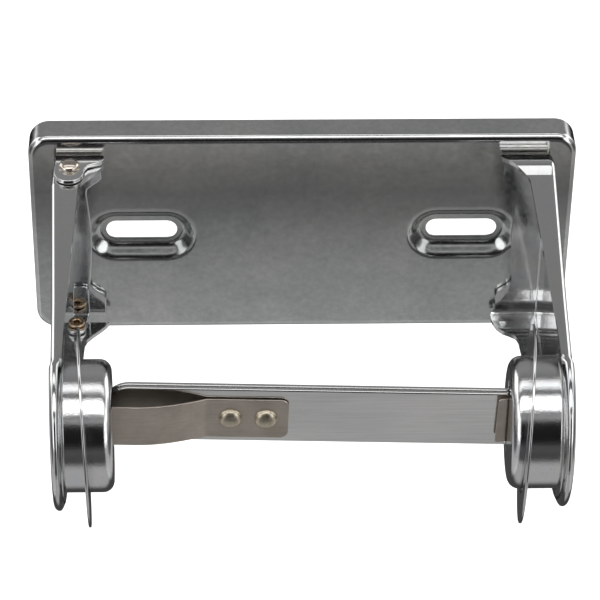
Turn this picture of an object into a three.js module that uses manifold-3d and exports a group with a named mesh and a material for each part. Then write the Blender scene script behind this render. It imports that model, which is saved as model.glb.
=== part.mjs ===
// Wall-mounted toilet paper holder: a pressed back plate, two pressed arms that end in round hubs,
// and a flat two-layer bar between them. The left arm swings outward on a riveted hinge to take a roll.
// Millimetres. X runs along the plate, +Y into the wall, +Z up. The origin is on the wall plane,
// midway between the two screw slots.
import * as THREE from 'three';
import { mergeVertices } from 'three/addons/utils/BufferGeometryUtils.js';
import Module from 'manifold-3d';

const wasm = await Module();
wasm.setup();

// ---- driving dimensions ---------------------------------------------------------------------
const sheet = 1.2; // pressed steel of the plate, the arms and the bar
const fit = 0.3; // gap between pieces that touch
const spare = 1; // how far a cutting body runs past the metal it cuts

const plateWidth = 152.4;
const plateHeight = 66;
const plateDepth = 9.1; // wall to front face
const plateCorner = 6;
const plateBend = 1.8; // radius where the face turns into the rim

const slotInset = 23.8; // slot centre inboard of the arm's outer face
const slotLength = 19.9;
const slotWidth = 5.7;
const dimpleDepth = 3;
const dimpleLip = 1.2; // flat ring around the slot, on the dimple's floor
const dimpleSpread = 4.8; // how far the dimple's wall runs out sideways

const armInset = 7; // arm's outer face inboard of the plate's edge, at the plate
const armMargin = 4.5; // arm's root below the plate's top edge, and above its bottom edge
const armReach = 84.1; // hub axis in front of the plate's face
const armCrest = 12.9; // how far the arm's root stays level before it tapers
const armToeIn = 2.1; // how far the arm leans inward between its crest and its hub
const flangeRoot = 14.4; // inner edge of the flanges inboard of the outer face: at the plate
const flangeNeck = 7.4; // where the root lobe ends
const neckRun = 3; // how far the root lobe's curve runs on past the crest
const flangeMiddle = 6.7; // halfway along
const flangeTip = 5.7; // at the hub
const rimStep = 1; // how far the rim stands out of the arm's outer face
const rimGap = 1.2; // between the drum's seat and the rim
const footWaist = 9; // width of the foot between its lobes
const lobeHeight = 8.5; // height of each of the foot's lobes
const lobeSlope = 3; // height over which a lobe narrows to the waist
const lobeDepth = 4.2; // how far the root lobe stays at full width in front of the plate

const drumRadius = 17.2;
const drumWall = 1;
const drumLength = 13.8;
const drumFillet = 3;
const drumFlange = 2.3; // seat of the drum on the arm, beyond its radius
const windowCorner = 0.8; // corner radius of the windows in the drums

const discOverhang = 4; // disc beyond the hub's rim
const discThickness = 0.7;
const discStandOff = 9.85; // disc to the arm's outer face at the hub
const discShift = 1.3; // both discs hang a little to the left
const discLean = 1.4 * Math.PI / 180; // a loose disc's top leans towards its arm
const leftDiscTurn = 3.5 * Math.PI / 180; // and its front edge turns towards the roll
const rightDiscTurn = 5.4 * Math.PI / 180;
const discPlay = 0.8; // radial play of the disc on its drum

const barHeight = 17;
const barSetBack = 3.6; // middle of the bar behind the hub axis
const barInsert = 1.5; // how far the bar's free end stands in the left drum
const barEndRadius = 6.5;
const barFoot = 6; // feet bent outward at the bar's fixed end
const barLift = 0.6; // height of the bar's middle over the hub axis
const barTilt = 1.8 * Math.PI / 180; // the free end sits high in its slot

const leafHeight = 12.4;
const leafThickness = 0.6;
const leafDrop = 0.4; // leaf below the bar's centre line
const leafSpan = 46.1; // left drum's face to the leaf's riveted end
const tongueSpan = 24.8; // left drum's face to the bend where the leaf leaves the bar
const leafRise = 4; // how far the tongue stands off the bar
const leafRun = 18; // length of the rise
const leafCorner = 1.6;
const tongueInsert = 6; // how far the tongue reaches into the left drum
const rivetInset = 5.9; // first rivet from the leaf's end
const rivetPitch = 9.2;

const clipHeight = 14.2;
const clipThickness = 0.5;
const clipLip = 3.6; // how far the clip shows outside the right drum
const clipRise = 1.3;
const clipLift = 1;

const hingeInset = 4.8; // hinge axis inboard of the arm's outer face
const hingeReach = 7.3; // hinge axis in front of the plate's face
const rootPastPin = 2.6; // how far the swinging arm reaches behind the hinge axis
const earRadius = 4;
const earNose = 2.8; // centre of the ear's round end in front of the hinge axis
const earLobe = 5.5; // how far the top ear's lobe reaches in front of the plate's face
const earOuter = 0.8; // outer edge of the bracket inboard of the arm's outer face
const pinRadius = 1.5;
const pinTail = 0.8; // thickness of a rivet's formed tail
const rivetHead = 2.8;
const latchHead = 3.1;
const rivetRise = 1.5; // height of a domed head
const eyeletHead = 2.4;
const eyeletBore = 1;
const eyeletLip = 0.6;
const tailInset = 0.4; // a formed tail is this much smaller than its head
const tabTop = 11; // height of the lower ear's upright over the ear
const tabHalf = 2.7;
const tabWaist = 1.2; // outer half of the lower ear behind its bore, clear of the swinging arm

// ---- places worked out from them ------------------------------------------------------------
const faceY = -plateDepth;
const footY = faceY - fit; // back of each foot
const hubY = faceY - armReach;
const armX = plateWidth / 2 - armInset;
const crestY = faceY - armCrest;
const rootTop = plateHeight / 2 - armMargin;
const slotX = armX - slotInset;
const hubRimRadius = drumRadius + drumFlange + rimGap + sheet;
const hubFaceX = armX - armToeIn; // arm's outer face at the hub
const drumFaceX = hubFaceX - sheet - fit - drumLength;
const barRearY = hubY + barSetBack + sheet + fit / 2;
const barFrontY = barRearY - 2 * sheet - fit;
const leafBackY = barFrontY - fit;
const leafZ = -leafDrop;
const leafEnd = leafSpan - drumFaceX;
const leafBend = tongueSpan - drumFaceX;
const hingeX = hingeInset - armX;
const hingeY = faceY - hingeReach;

const barHeightAt = (x) => barLift - x * Math.tan(barTilt);

// ---- solids and outlines --------------------------------------------------------------------
function solid(geometry) {
  const bare = geometry.clone();
  bare.deleteAttribute('normal');
  bare.deleteAttribute('uv');
  const merged = mergeVertices(bare, 1e-4);
  return new wasm.Manifold(new wasm.Mesh({
    numProp: 3,
    vertProperties: Float32Array.from(merged.attributes.position.array),
    triVerts: Uint32Array.from(merged.index.array),
  }));
}

function geometryOf(body) {
  const { numProp, vertProperties, triVerts } = body.getMesh();
  const positions = new Float32Array(vertProperties.length / numProp * 3);
  for (let i = 0; i < positions.length / 3; i += 1) {
    positions.set(vertProperties.subarray(i * numProp, i * numProp + 3), i * 3);
  }
  const geometry = new THREE.BufferGeometry();
  geometry.setAttribute('position', new THREE.BufferAttribute(positions, 3));
  geometry.setIndex(new THREE.BufferAttribute(Uint32Array.from(triVerts), 1));
  geometry.computeVertexNormals();
  return geometry;
}

const curveSegments = 10;
const tiny = 0.01;

// Extrudes an (x, y) outline from z = low to z = high.
function alongZ(shape, low, high) {
  const geometry = new THREE.ExtrudeGeometry(shape, {
    depth: high - low, bevelEnabled: false, curveSegments,
  });
  return solid(geometry.translate(0, 0, low));
}

// Extrudes a (y, z) outline between two x values, in either order.
function alongX(shape, from, to) {
  const geometry = new THREE.ExtrudeGeometry(shape, {
    depth: Math.abs(to - from), bevelEnabled: false, curveSegments,
  });
  const turn = new THREE.Matrix4().makeBasis(
    new THREE.Vector3(0, 1, 0), new THREE.Vector3(0, 0, 1), new THREE.Vector3(1, 0, 0),
  );
  return solid(geometry.applyMatrix4(turn).translate(Math.min(from, to), 0, 0));
}

// Extrudes an (x, z) outline from y = back towards the user, with an optional bevel.
function forward(shape, back, depth, bevel = {}) {
  const geometry = new THREE.ExtrudeGeometry(shape, {
    depth, bevelEnabled: false, curveSegments, ...bevel,
  });
  const turn = new THREE.Matrix4().makeBasis(
    new THREE.Vector3(1, 0, 0), new THREE.Vector3(0, 0, 1), new THREE.Vector3(0, -1, 0),
  );
  return solid(geometry.applyMatrix4(turn).translate(0, back, 0));
}

// Turns a profile of [radius, distance] pairs about an axis through the centre.
function turned(profile, axis, centre, segments = 40) {
  const points = profile.map(([radius, along]) => new THREE.Vector2(radius, along));
  const geometry = new THREE.LatheGeometry(points, segments);
  const turn = new THREE.Quaternion().setFromUnitVectors(new THREE.Vector3(0, 1, 0), axis);
  return solid(geometry.applyQuaternion(turn).translate(...centre));
}

const xAxis = new THREE.Vector3(1, 0, 0);
const yAxis = new THREE.Vector3(0, 1, 0);
const zAxis = new THREE.Vector3(0, 0, 1);

function roundedRect(width, height, radius, centreX = 0, centreY = 0) {
  const shape = new THREE.Shape();
  const right = width / 2 - radius;
  const top = height / 2 - radius;
  const corners = [[right, top, 0], [-right, top, 1], [-right, -top, 2], [right, -top, 3]];
  for (const [x, y, quarter] of corners) {
    const start = quarter * Math.PI / 2;
    shape.absarc(centreX + x, centreY + y, radius, start, start + Math.PI / 2, false);
  }
  return shape;
}

function outline(points) {
  return new THREE.Shape(points.map(([x, y]) => new THREE.Vector2(x, y)));
}

function box(x0, x1, y0, y1, z0, z1) {
  const geometry = new THREE.BoxGeometry(Math.abs(x1 - x0), Math.abs(y1 - y0), Math.abs(z1 - z0));
  return solid(geometry.translate((x0 + x1) / 2, (y0 + y1) / 2, (z0 + z1) / 2));
}

const plain = (colour, roughness, metalness = 1) => (
  new THREE.MeshStandardMaterial({ color: colour, roughness, metalness })
);

function named(name, body, material) {
  const mesh = new THREE.Mesh(geometryOf(body), material);
  mesh.name = name;
  return mesh;
}

// ---- back plate -----------------------------------------------------------------------------
// A pan whose rim stands on the wall; `inset` gives its inner skin.
function pan(inset) {
  const bend = plateBend - inset;
  const core = roundedRect(
    plateWidth - 2 * plateBend, plateHeight - 2 * plateBend, plateCorner - plateBend,
  );
  const body = forward(core, 2 * bend, 2 * bend + plateDepth - inset - bend, {
    bevelEnabled: true, bevelThickness: bend, bevelSize: bend, bevelSegments: 2,
  });
  return body.subtract(box(-plateWidth, plateWidth, 0, plateDepth, -plateHeight, plateHeight));
}

// A long dish from the plate's face down to the flat ring around a slot.
function dish(x, depthShift) {
  const floor = roundedRect(
    slotLength + 2 * dimpleLip, slotWidth + 2 * dimpleLip, slotWidth / 2 + dimpleLip - tiny, x,
  );
  return forward(floor, faceY + depthShift, dimpleDepth, {
    bevelEnabled: true, bevelThickness: dimpleDepth, bevelSize: dimpleSpread, bevelSegments: 1,
  });
}

function backPlate() {
  let body = pan(0).subtract(pan(sheet));
  const room = box(-plateWidth, plateWidth, faceY + sheet / 2, 0, -plateHeight, plateHeight);
  for (const x of [-slotX, slotX]) {
    const slot = roundedRect(slotLength, slotWidth, slotWidth / 2 - tiny, x);
    body = body.add(dish(x, sheet).intersect(room));
    body = body.subtract(dish(x, 0));
    body = body.subtract(forward(slot, 0, plateDepth));
  }
  return body;
}

// ---- arms -----------------------------------------------------------------------------------
// Side outline of an arm: level at its root, then straight to the circle around the hub.
function armSide(rootY, top, bottom, radius) {
  const shape = new THREE.Shape();
  const touch = (z) => {
    const away = Math.hypot(crestY - hubY, z);
    return Math.atan2(z, crestY - hubY) + Math.sign(z) * Math.acos(radius / away);
  };
  shape.moveTo(rootY, bottom);
  shape.lineTo(rootY, top);
  shape.lineTo(crestY, top);
  shape.absarc(hubY, 0, radius, touch(top), touch(bottom) + 2 * Math.PI, false);
  shape.lineTo(crestY, bottom);
  return shape;
}

// The web's line seen from above, `inset` inboard of its outer face, from root to tip.
function webLine(side, inset, rootY) {
  const x = (outerX) => side * (outerX - inset);
  return [
    [x(armX), rootY], [x(armX), crestY],
    [x(hubFaceX), hubY + hubRimRadius], [x(hubFaceX), hubY - 2 * hubRimRadius],
  ];
}

// The arm seen from above: the web's outer face, and the inner edge of the flanges with its root lobe.
function armPlan(side, rootY) {
  const x = (inboard) => side * (armX - inboard);
  const lobeFront = Math.min(faceY - lobeDepth, rootY - 2 * fit);
  const neckY = crestY - neckRun;
  const rimY = hubY + hubRimRadius / 2;
  const [root, ...rest] = webLine(side, 0, rootY).reverse();
  const shape = new THREE.Shape();
  shape.moveTo(...root);
  rest.forEach(([px, py]) => shape.lineTo(px, py));
  shape.lineTo(x(flangeRoot), rootY);
  shape.lineTo(x(flangeRoot), lobeFront);
  shape.bezierCurveTo(
    x(flangeRoot), lobeFront - neckRun, x(flangeNeck), neckY + 2 * neckRun, x(flangeNeck), neckY,
  );
  shape.lineTo(x(flangeMiddle), (neckY + rimY) / 2);
  shape.lineTo(x(flangeTip), rimY);
  shape.lineTo(x(flangeTip), hubY - 2 * hubRimRadius);
  return shape;
}

// The space inside the arm's channel, seen from above.
function channelPlan(side, rootY) {
  const inboard = side * (armX - flangeRoot - spare);
  return outline([
    ...webLine(side, sheet, rootY), [inboard, hubY - 2 * hubRimRadius], [inboard, rootY],
  ]);
}

// One pressed arm: its web, the flange that runs round it and the rolled rim around the hub.
function armShell(side, rootY, backClosed, top, bottom) {
  const high = [bottom - spare, top + spare];
  const innerRoot = backClosed ? rootY - sheet : rootY + spare;
  const outer = alongX(armSide(rootY, top, bottom, hubRimRadius), 0, side * armX)
    .intersect(alongZ(armPlan(side, rootY), ...high));
  const hollow = armSide(innerRoot, top - sheet, bottom + sheet, hubRimRadius - sheet);
  const inner = alongX(hollow, 0, side * armX)
    .intersect(alongZ(channelPlan(side, innerRoot), ...high));
  const rim = turned([
    [hubRimRadius - sheet, -sheet], [hubRimRadius, -sheet],
    [hubRimRadius, rimStep], [hubRimRadius - sheet, rimStep], [hubRimRadius - sheet, -sheet],
  ], xAxis.clone().multiplyScalar(side), [side * hubFaceX, hubY, 0], 48);
  return outer.subtract(inner).add(rim);
}

// What is cut from a foot so that it has a narrow waist between its two lobes.
function waistCut(side, y) {
  const x = (inboard) => side * (armX - inboard);
  const high = rootTop - lobeHeight;
  const shape = outline([
    [x(flangeRoot + spare), high], [x(flangeRoot), high], [x(footWaist), high - lobeSlope],
    [x(footWaist), -high + lobeSlope], [x(flangeRoot), -high], [x(flangeRoot + spare), -high],
  ]);
  return forward(shape, y + spare, sheet + 2 * spare);
}

function rightArm() {
  return armShell(1, footY, true, rootTop, -rootTop).subtract(waistCut(1, footY));
}

function leftArm() {
  const top = rootTop - sheet - fit;
  return armShell(-1, hingeY + rootPastPin, false, top, -rootTop).subtract(hingeBore());
}

// The round hole, through everything on the hinge axis, that the hinge pins turn in.
function hingeBore() {
  const radius = pinRadius + fit;
  const profile = [[0, -plateHeight], [radius, -plateHeight], [radius, plateHeight], [0, plateHeight]];
  return turned(profile, zAxis, [hingeX, hingeY, 0], 20);
}

// The fixed half of the hinge: a foot on the plate, an ear over the arm's top flange and a
// smaller ear, let down from the foot, over its bottom flange.
function leftBracket() {
  const x = (inboard) => -(armX - inboard);
  const earTop = rootTop;
  const low = -rootTop + sheet + fit;
  const foot = forward(outline([
    [x(earOuter), low], [x(flangeRoot), low], [x(flangeRoot), earTop], [x(earOuter), earTop],
  ]), footY, sheet).subtract(waistCut(-1, footY));
  const earShape = new THREE.Shape();
  earShape.moveTo(hingeX - earRadius, footY - sheet / 2);
  earShape.lineTo(hingeX - earRadius, hingeY - earNose);
  earShape.absarc(hingeX, hingeY - earNose, earRadius, Math.PI, 2 * Math.PI, false);
  earShape.lineTo(hingeX + earRadius, faceY - earLobe - sheet);
  earShape.lineTo(x(flangeRoot) - sheet, faceY - earLobe);
  earShape.lineTo(x(flangeRoot), faceY - lobeDepth);
  earShape.lineTo(x(flangeRoot), footY - sheet / 2);
  const topEar = alongZ(earShape, earTop - sheet, earTop);
  const tabShape = new THREE.Shape();
  tabShape.moveTo(hingeX - tabWaist, footY - sheet / 2);
  tabShape.lineTo(hingeX - tabWaist, hingeY + pinRadius + 2 * fit);
  tabShape.lineTo(hingeX - tabHalf, hingeY + fit);
  tabShape.absarc(hingeX, hingeY - eyeletHead / 2, tabHalf, Math.PI, 2 * Math.PI, false);
  tabShape.lineTo(hingeX + tabHalf, footY - sheet / 2);
  const lowEar = alongZ(tabShape, low, low + sheet);
  const upright = box(
    hingeX - tabWaist, hingeX + tabHalf, footY - sheet / 2, footY - 2 * sheet, low, low + tabTop,
  );
  return foot.add(topEar).add(lowEar).add(upright).subtract(hingeBore());
}

// ---- hubs and discs -------------------------------------------------------------------------
// A deep-drawn cup: its flange sits on the arm's web and its closed end faces the roll.
function drum(side) {
  const profile = [[0, 0]];
  const fillet = (radius, from, to) => {
    for (let i = 0; i <= 4; i += 1) {
      const angle = from + (to - from) * i / 4;
      profile.push([
        drumRadius - drumFillet + radius * Math.cos(angle), drumFillet + radius * Math.sin(angle),
      ]);
    }
  };
  fillet(drumFillet, -Math.PI / 2, 0);
  profile.push([drumRadius, drumLength - drumWall]);
  profile.push([drumRadius + drumFlange, drumLength - drumWall]);
  profile.push([drumRadius + drumFlange, drumLength]);
  profile.push([drumRadius - drumWall, drumLength]);
  fillet(drumFillet - drumWall, 0, -Math.PI / 2);
  profile.push([0, drumWall]);
  return turned(profile, xAxis.clone().multiplyScalar(side), [side * drumFaceX, hubY, 0], 48);
}

// The window in a drum's closed end, from `front` to `back` in Y, tall enough for the bar there.
function drumWindow(side, front, back) {
  const centreZ = barHeightAt(side * drumFaceX);
  const half = barHeight / 2 + Math.abs(centreZ) + 2 * fit;
  const shape = roundedRect(back - front, 2 * half, windowCorner, (front + back) / 2, 0);
  return alongX(shape, side * (drumFaceX - spare), side * (drumFaceX + drumFillet));
}

function leftHub() {
  const front = leafBackY - leafRise - leafThickness - fit;
  return drum(-1).subtract(drumWindow(-1, front, barRearY + 1));
}

function rightHub() {
  const front = leafBackY - clipRise - clipThickness - fit;
  return drum(1).subtract(drumWindow(1, front, barRearY + fit));
}

// A loose washer on its drum: it hangs on the drum's top, a little askew.
function guardDisc(side, turn) {
  const bore = drumRadius + discPlay;
  const discRadius = hubRimRadius + discOverhang;
  const half = discThickness / 2;
  const drop = discPlay - fit;
  const profile = [[bore, -half], [discRadius, -half], [discRadius, half], [bore, half], [bore, -half]];
  const degrees = 180 / Math.PI;
  return turned(profile, xAxis, [0, 0, 0], 48)
    .rotate([0, side * discLean * degrees, -side * turn * degrees])
    .translate([side * (hubFaceX - discStandOff) - discShift, hubY, -drop]);
}

// ---- bar, leaf and their rivets: drawn level, then lifted and tilted together ----------------
function barLayer(backY, footSide) {
  const left = -(drumFaceX + barInsert);
  const right = hubFaceX - sheet - fit;
  const half = barHeight / 2;
  const shape = new THREE.Shape();
  shape.moveTo(right, -half);
  shape.lineTo(right, half);
  shape.absarc(left + barEndRadius, half - barEndRadius, barEndRadius, Math.PI / 2, Math.PI, false);
  shape.absarc(left + barEndRadius, -half + barEndRadius, barEndRadius, Math.PI, 1.5 * Math.PI, false);
  const footFrom = footSide > 0 ? backY : backY - sheet;
  const foot = box(right - sheet, right, footFrom, footFrom + footSide * barFoot, -half, half);
  let body = forward(shape, backY, sheet).add(foot);
  for (const x of rivetPlaces()) {
    body = body.subtract(rivetHole(x));
  }
  return body;
}

const rivetPlaces = () => [0, 1].map((index) => leafEnd - rivetInset - index * rivetPitch);

function rivetHole(x) {
  const radius = pinRadius + fit;
  const reach = plateDepth;
  const profile = [[0, -reach], [radius, -reach], [radius, reach], [0, reach]];
  return turned(profile, yAxis, [x, barFrontY, leafZ], 16);
}

function latchRivet(x) {
  const back = barRearY + fit;
  const front = leafBackY - leafThickness - fit;
  const tail = latchHead - tailInset;
  const profile = [[0, back + pinTail], [tail, back + pinTail], [tail, back], [pinRadius, back],
    [pinRadius, front], [latchHead, front]];
  for (let i = 1; i <= 4; i += 1) {
    const angle = i / 4 * Math.PI / 2;
    profile.push([latchHead * Math.cos(angle), front - rivetRise * Math.sin(angle)]);
  }
  profile[profile.length - 1][0] = 0;
  return turned(profile.reverse(), yAxis, [x, 0, leafZ], 20);
}

function latchLeaf() {
  const half = leafHeight / 2;
  const left = leafBend + fit / 2;
  const shape = new THREE.Shape();
  shape.moveTo(left, -half);
  shape.absarc(leafEnd - leafCorner, -half + leafCorner, leafCorner, -Math.PI / 2, 0, false);
  shape.absarc(leafEnd - leafCorner, half - leafCorner, leafCorner, 0, Math.PI / 2, false);
  shape.lineTo(left, half);
  let body = forward(shape, leafBackY, leafThickness).translate(0, 0, leafZ);
  for (const x of rivetPlaces()) {
    body = body.subtract(rivetHole(x));
  }
  return body;
}

// The sprung end of the leaf: it rises off the bar and runs on, parallel to it, into the drum.
function latchTongue() {
  const steps = 8;
  const back = [];
  for (let i = 0; i <= steps; i += 1) {
    const share = i / steps;
    back.push([leafBend - fit / 2 - leafRun * share, leafBackY - leafRise * Math.sin(share * Math.PI / 2)]);
  }
  back.push([-(drumFaceX + tongueInsert), leafBackY - leafRise]);
  const front = back.map(([x, y]) => [x, y - leafThickness]).reverse();
  return alongZ(outline([...back, ...front]), -leafHeight / 2, leafHeight / 2).translate(0, 0, leafZ);
}

// A short sprung lip between the bar and the right drum, which takes the play out of the bar.
function barClip() {
  const inner = drumFaceX + tongueInsert;
  const lip = drumFaceX - clipLip;
  const back = [[inner, leafBackY], [drumFaceX, leafBackY - clipRise / 3], [lip, leafBackY - clipRise]];
  const front = back.map(([x, y]) => [x, y - clipThickness]).reverse();
  return alongZ(outline([...back, ...front]), -clipHeight / 2, clipHeight / 2).translate(0, 0, clipLift);
}

// ---- hinge pins -----------------------------------------------------------------------------
function hingeRivet() {
  const seat = rootTop + fit;
  const under = rootTop - 2 * sheet - 2 * fit;
  const tail = rivetHead - tailInset;
  const profile = [[0, under - pinTail], [tail, under - pinTail], [tail, under],
    [pinRadius, under], [pinRadius, seat]];
  for (let i = 0; i <= 4; i += 1) {
    const angle = i / 4 * Math.PI / 2;
    profile.push([rivetHead * Math.cos(angle), seat + rivetRise * Math.sin(angle)]);
  }
  profile[profile.length - 1][0] = 0;
  return turned(profile, zAxis, [hingeX, hingeY, 0], 20);
}

function hingeEyelet() {
  const top = -rootTop + 2 * sheet + 2 * fit;
  const bottom = -rootTop - fit;
  return turned([[eyeletBore, bottom - eyeletLip], [eyeletHead, bottom - eyeletLip], [eyeletHead, bottom],
    [pinRadius, bottom], [pinRadius, top], [eyeletHead, top], [eyeletHead, top + eyeletLip],
    [eyeletBore, top + eyeletLip], [eyeletBore, bottom - eyeletLip]], zAxis, [hingeX, hingeY, 0], 20);
}

// ---- assembly -------------------------------------------------------------------------------
const satinChrome = () => plain(0x8b8d8c, 0.35);
const brightChrome = () => plain(0xb4b6b8, 0.12);
const springSteel = () => plain(0x8a8178, 0.42);
const brass = () => plain(0x9a7d55, 0.3);

const holder = new THREE.Group();
holder.add(named('back_plate', backPlate(), satinChrome()));
holder.add(named('left_bracket', leftBracket(), brightChrome()));
holder.add(named('hinge_rivet', hingeRivet(), brass()));
holder.add(named('hinge_eyelet', hingeEyelet(), brass()));
holder.add(named('left_arm', leftArm(), brightChrome()));
holder.add(named('right_arm', rightArm(), brightChrome()));
holder.add(named('left_hub', leftHub(), brightChrome()));
holder.add(named('right_hub', rightHub(), brightChrome()));
holder.add(named('left_guard_disc', guardDisc(-1, leftDiscTurn), brightChrome()));
holder.add(named('right_guard_disc', guardDisc(1, rightDiscTurn), brightChrome()));

const spindle = new THREE.Group();
spindle.position.z = barLift;
spindle.rotation.y = barTilt;
spindle.add(named('bar_rear', barLayer(barRearY, 1), satinChrome()));
spindle.add(named('bar_front', barLayer(barFrontY + sheet, -1), satinChrome()));
spindle.add(named('bar_clip', barClip(), springSteel()));
spindle.add(named('latch_leaf', latchLeaf(), springSteel()));
spindle.add(named('latch_tongue', latchTongue(), springSteel()));
rivetPlaces().forEach((x, index) => {
  spindle.add(named(`latch_rivet_${index + 1}`, latchRivet(x), brass()));
});
holder.add(spindle);

export default holder;
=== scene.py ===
import math

import bmesh
import bpy
import numpy as np
from mathutils import Matrix, Vector


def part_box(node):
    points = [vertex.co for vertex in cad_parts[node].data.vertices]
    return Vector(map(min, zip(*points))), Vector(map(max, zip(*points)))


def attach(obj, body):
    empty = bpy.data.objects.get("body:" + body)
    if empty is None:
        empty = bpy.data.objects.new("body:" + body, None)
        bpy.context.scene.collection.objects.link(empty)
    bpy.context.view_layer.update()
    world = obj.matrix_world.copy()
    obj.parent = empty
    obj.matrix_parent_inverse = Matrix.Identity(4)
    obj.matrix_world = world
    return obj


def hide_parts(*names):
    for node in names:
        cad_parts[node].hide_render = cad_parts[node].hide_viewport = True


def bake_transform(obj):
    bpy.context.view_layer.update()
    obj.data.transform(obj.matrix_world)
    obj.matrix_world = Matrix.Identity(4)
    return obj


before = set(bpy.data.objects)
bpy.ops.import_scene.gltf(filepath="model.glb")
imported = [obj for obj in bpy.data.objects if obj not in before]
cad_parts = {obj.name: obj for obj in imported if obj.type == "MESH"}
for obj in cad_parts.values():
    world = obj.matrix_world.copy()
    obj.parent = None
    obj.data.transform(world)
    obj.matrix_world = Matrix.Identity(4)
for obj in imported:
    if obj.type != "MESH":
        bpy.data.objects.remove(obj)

MM = 0.001
SCENE = bpy.context.scene
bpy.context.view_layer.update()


def cad_box(node):
    """A CAD node's lowest and highest corners, in millimetres."""
    low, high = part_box(node)
    return np.array(low) / MM, np.array(high) / MM


# ---- sizes taken from the CAD parts ------------------------------------------------------------
plate_low, plate_high = cad_box("back_plate")
arm_low, arm_high = cad_box("right_arm")
hub_low, hub_high = cad_box("right_hub")
rivet_low, rivet_high = cad_box("hinge_rivet")
eyelet_low, eyelet_high = cad_box("hinge_eyelet")

PLATE_WIDTH = plate_high[0] - plate_low[0]
PLATE_HEIGHT = plate_high[2] - plate_low[2]
FACE_Y = plate_low[1]
FOOT_Y = arm_high[1]
ARM_X = arm_high[0]
ROOT_TOP = arm_high[2]
HUB_Y = (hub_low[1] + hub_high[1]) / 2
RIM_RADIUS = HUB_Y - arm_low[1]
DRUM_FACE_X = hub_low[0]
DRUM_BACK_X = hub_high[0]
HINGE_X = (rivet_low[0] + rivet_high[0]) / 2
HINGE_Y = (rivet_low[1] + rivet_high[1]) / 2
LEFT_ROOT_Y = cad_box("left_arm")[1][1]
BRACKET_BOTTOM = cad_box("left_bracket")[0][2]

# ---- sizes of the pressed metal ----------------------------------------------------------------
SHEET = 1.2
GAP = 0.3
PLATE_CORNER = 6.0
PLATE_BEND = 1.8
SLOT_INSET = 23.8
SLOT_LENGTH = 19.9
SLOT_WIDTH = 5.7
DIMPLE_DEPTH = 3.0
DIMPLE_LIP = 1.2
DIMPLE_SPREAD = 4.8
CREST_RUN = 12.9
TOE_IN = 2.1
HUB_TURN = math.radians(2.0)
FLANGE_ROOT = 14.4
FLANGE_NECK = 7.4
FLANGE_TIP = 5.7
FOOT_WAIST = 9.0
LOBE_HEIGHT = 8.5
LOBE_DEPTH = 4.2
ARM_BEND = 1.5
BEAD = 0.45
DRUM_RADIUS = 17.2
DRUM_WALL = 1.0
DRUM_FILLET = 3.0
DISC_OVERHANG = 4.0
DISC_PLAY = 0.8
DISC_SHEET = 0.7
BAR_HEIGHT = 17.0
BAR_SET_BACK = 3.6
BAR_INSERT = 1.5
BAR_END = 6.5
BAR_FOOT = 6.0
BAR_FOOT_ROOM = 1.0
BAR_LIFT = 0.6
BAR_TILT = math.radians(1.8)
LEAF_HEIGHT = 12.4
LEAF_SHEET = 0.6
LEAF_DROP = 0.4
LEAF_SPAN = 46.1
TONGUE_SPAN = 24.8
LEAF_RISE = 4.0
LEAF_RUN = 18.0
LEAF_CORNER = 2.2
TONGUE_INSERT = 6.0
RIVET_INSET = 5.9
RIVET_PITCH = 9.2
CLIP_HEIGHT = 14.2
CLIP_SHEET = 0.5
CLIP_LIP = 3.6
CLIP_RISE = 1.3
CLIP_CURVE = 1.6
TAIL_DEPTH = 0.8  # the formed end of a rivet
TAIL_CHAMFER = 0.3
LATCH_TAIL = 2.7
EYELET_HEAD, EYELET_BORE, EYELET_LIP = 2.4, 1.0, 0.6
TAB_HALF = 2.7  # the lower ear: round its bore, and at its foot
TAB_FOOT = 3.6
TAB_DROP = 11
TAB_INSIDE = 1.2
PIN_FACETS, DISC_FACETS, DRUM_FACETS = 64, 192, 128
CLIP_LIFT = 1.0
PIN_RADIUS = 1.5
LATCH_HEAD = 3.1
RIVET_HEAD = 2.8
RIVET_RISE = 1.5

CREST_Y = FACE_Y - CREST_RUN
SLOT_X = ARM_X - SLOT_INSET
HUB_FACE_X = ARM_X - TOE_IN
BAR_REAR_Y = HUB_Y + BAR_SET_BACK + SHEET + GAP / 2
BAR_FRONT_Y = BAR_REAR_Y - 2 * SHEET - GAP
LEAF_BACK_Y = BAR_FRONT_Y - GAP
HUB_NEAR_Y = HUB_Y + RIM_RADIUS
LEAF_END = LEAF_SPAN - DRUM_FACE_X
LEAF_BEND = TONGUE_SPAN - DRUM_FACE_X


# ---- outlines ----------------------------------------------------------------------------------
def smooth_step(value, start, end):
    """0 before start, 1 after end, and smooth between them."""
    t = min(1.0, max(0.0, (value - start) / (end - start)))
    return t * t * (3 - 2 * t)


def arc(centre, radius, start, end, steps):
    angles = np.linspace(start, end, steps + 1)
    return [(centre[0] + radius * math.cos(a), centre[1] + radius * math.sin(a)) for a in angles]


def rounded(corners, steps=6):
    """A closed outline from (u, v, radius) corners, each rounded by an arc that meets both sides."""
    points = []
    count = len(corners)
    for i, (u, v, radius) in enumerate(corners):
        here = Vector((u, v))
        before = (Vector(corners[i - 1][:2]) - here).normalized()
        after = (Vector(corners[(i + 1) % count][:2]) - here).normalized()
        half = before.angle(after) / 2
        if radius < 1e-6 or half > math.pi / 2 - 1e-3:
            points.append((u, v))
            continue
        middle = here + (before + after).normalized() * (radius / math.sin(half))
        start = here + before * (radius / math.tan(half)) - middle
        end = here + after * (radius / math.tan(half)) - middle
        sweep = start.angle(end)
        if start.x * end.y - start.y * end.x < 0:
            sweep = -sweep
        for k in range(steps + 1):
            a = sweep * k / steps
            c, s = math.cos(a), math.sin(a)
            points.append((middle.x + c * start.x - s * start.y, middle.y + s * start.x + c * start.y))
    return points


def area(points):
    p = np.array(points)
    q = np.roll(p, -1, axis=0)
    return float(np.sum(p[:, 0] * q[:, 1] - q[:, 0] * p[:, 1])) / 2


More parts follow.
